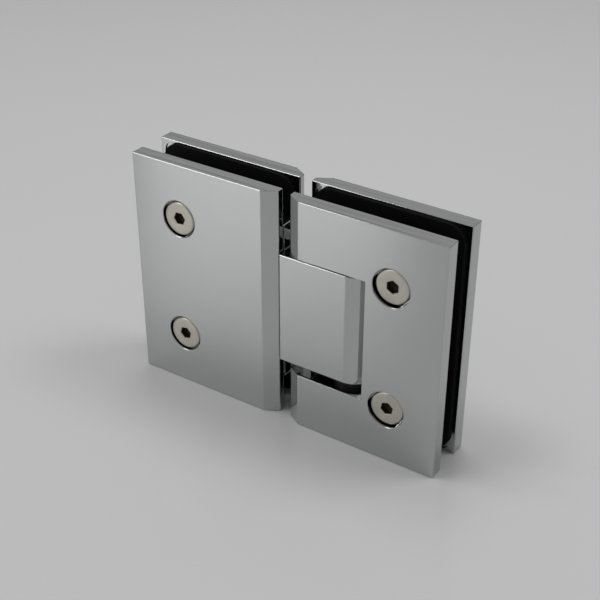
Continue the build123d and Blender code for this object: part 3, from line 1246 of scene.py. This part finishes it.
@dataclass(frozen=True)
class PaleFloor(Finish):
    """A pale satin table top."""

    name: str = "pale_floor"
    slot: str = ""
    tone: Colour = (0.615, 0.62, 0.615)
    shade: Colour = (0.6, 0.605, 0.602)
    gloss: float = 0.19
    cloud_scale: float = 3
    cloud_gloss: float = 0.04

    def paint(self, graph: Graph) -> None:
        """Add the floor's nodes to an empty graph."""
        cloud = graph.noise(self.cloud_scale, detail=2)
        graph.surface({
            "Base Color": graph.blend(cloud, self.tone, self.shade),
            "Roughness": self.gloss + self.cloud_gloss * cloud,
        })


@dataclass
class Studio:
    """A pale floor, soft lamps, a grey room and the camera."""

    floor_radius: float = 4.0
    floor_middle: float = 0.02
    floor_rings: int = 24
    floor_spokes: int = 64
    room: Colour = (0.48, 0.482, 0.48)
    horizon: Colour = (0.12, 0.122, 0.125)
    horizon_top: float = 28.0
    fill: Colour = (0.33, 0.332, 0.33)
    azimuth: float = 33.52
    elevation: float = 31.31
    roll: float = 0.17
    distance: float = 0.4199
    aim: Triple = (0.000878, 0.000441, -0.000192)
    lens: float = 71.35
    near: float = 0.01
    lamps: tuple[Softbox, ...] = (
        Softbox("overhead_softbox", Task.LIGHT, towards=(150, 76), distance=0.9, size=(0.3, 0.3), power=1.2),
        Softbox("left_softbox", Task.LIGHT, towards=(55, 70), distance=1.5, size=(0.45, 0.45), power=5.6),
        Softbox("right_softbox", Task.LIGHT, towards=(-125, 61), distance=1.5, size=(0.5, 0.5), power=4.3),
        Softbox("edge_card", Task.SHOW, towards=(57, 43), distance=1.5, size=(0.5, 0.4), power=1.2),
        Softbox("left_card", Task.SHOW, towards=(35, 18.5), distance=1.5, size=(0.42, 0.56), power=3.3),
    )

    def build(self) -> None:
        """Build the floor, the lamps, the room and the camera."""
        self.build_floor()
        for lamp in self.lamps:
            lamp.build()
        self.build_room()
        self.build_camera()
        bpy.context.scene.view_settings.view_transform = "Standard"

    def build_room(self) -> None:
        """Build the room: darker towards the horizon where it shows, an even fill where it lights."""
        world = bpy.data.worlds.new("room")
        bpy.context.scene.world = world
        world.use_nodes = True
        graph = Graph(world.node_tree)
        way = graph.node("ShaderNodeTexCoord", {}, {}).outputs["Generated"]
        height = graph.value("ShaderNodeSeparateXYZ", {}, {"Vector": way}, "Z")
        tone = graph.blend(height.ramp(0, math.sin(math.radians(self.horizon_top))), self.horizon, self.room)
        dull = graph.value("ShaderNodeLightPath", {}, {}, "Is Diffuse Ray")
        shown = graph.blend(dull, tone, self.fill)
        world.node_tree.links.new(shown, world.node_tree.nodes["Background"].inputs["Color"])

    def build_floor(self) -> None:
        """Build the floor as a disc of rings, whose radius grows with the square of the ring's number."""
        shape = (self.floor_rings, self.floor_spokes)
        radius = self.floor_radius * np.linspace(self.floor_middle, 1, self.floor_rings)[:, None] ** 2
        angle = np.linspace(0, 2 * math.pi, self.floor_spokes, endpoint=False)[None, :]
        level = np.full(shape, CAD_BOX[0].z)
        grid = np.stack([radius * np.cos(angle), radius * np.sin(angle), level], axis=2)
        number = np.arange(level.size).reshape(shape)
        ahead = np.roll(number, -1, axis=1)
        quads = np.stack([number[:-1], number[1:], ahead[1:], ahead[:-1]], axis=2).reshape(-1, 4)
        mesh = bpy.data.meshes.new("floor")
        mesh.from_pydata(grid.reshape(-1, 3).tolist(), [], quads.tolist() + [number[0].tolist()])
        mesh.materials.append(PaleFloor().material())
        floor = bpy.data.objects.new("floor", mesh)
        bpy.context.scene.collection.objects.link(floor)

    def build_camera(self) -> None:
        """Place the camera at its bearing, looking at the aim point."""
        azimuth, elevation = math.radians(self.azimuth), math.radians(self.elevation)
        back = Vector((
            math.sin(azimuth) * math.cos(elevation),
            -math.cos(azimuth) * math.cos(elevation),
            math.sin(elevation),
        ))
        right = Vector((math.cos(azimuth), math.sin(azimuth), 0))
        up = back.cross(right)
        roll = Matrix.Rotation(math.radians(self.roll), 4, "Z")
        turn = Matrix((right, up, back)).transposed().to_4x4() @ roll
        data = bpy.data.cameras.new("camera")
        data.lens = self.lens
        data.clip_start = self.near
        camera = bpy.data.objects.new("camera", data)
        camera.matrix_world = Matrix.Translation(Vector(self.aim) + back * self.distance) @ turn
        bpy.context.scene.collection.objects.link(camera)
        bpy.context.scene.camera = camera


def main() -> None:
    """Build the hinge's pieces in order, then the studio."""
    logging.basicConfig(level=logging.INFO, format="%(name)s: %(message)s")
    block_screws = CountersunkPair("block_screws", head_radius=4.3, shank_radius=2.5, pitch=0.8)
    carrier_screws = CountersunkPair("carrier_screws", head_radius=3.6, shank_radius=2.0, pitch=0.7)
    carrier_low, carrier_high = node_box("upper_pin_carrier")
    carrier_z = (carrier_low[2] + carrier_high[2]) / 2
    ClampLeaf(Side.FIXED, "fixed_leaf", screw_turns=(15.0, 5.0), held=block_screws).build()
    ClampLeaf(Side.DOOR, "door_leaf", screw_turns=(20.0, 30.0), held=carrier_screws).build()
    PivotBlock().build(block_screws)
    GrubScrews(
        "pin_set_screws", "door_leaf", heights=(-carrier_z, carrier_z), socket_side=1,
        socket=2.0, socket_depth=1.5, pitch=0.7,
    ).build()
    for name in DETENTS:
        GrubScrews(
            f"{name}_spring_adjuster", "fixed_leaf", heights=(detent_height(name),), socket_side=-1,
            socket=3.5, socket_depth=3.0, pitch=1.0,
        ).build()
        DetentSpring(name).build()
    InnerWorks().build()
    Studio().build()


if __name__ == "__main__":
    main()
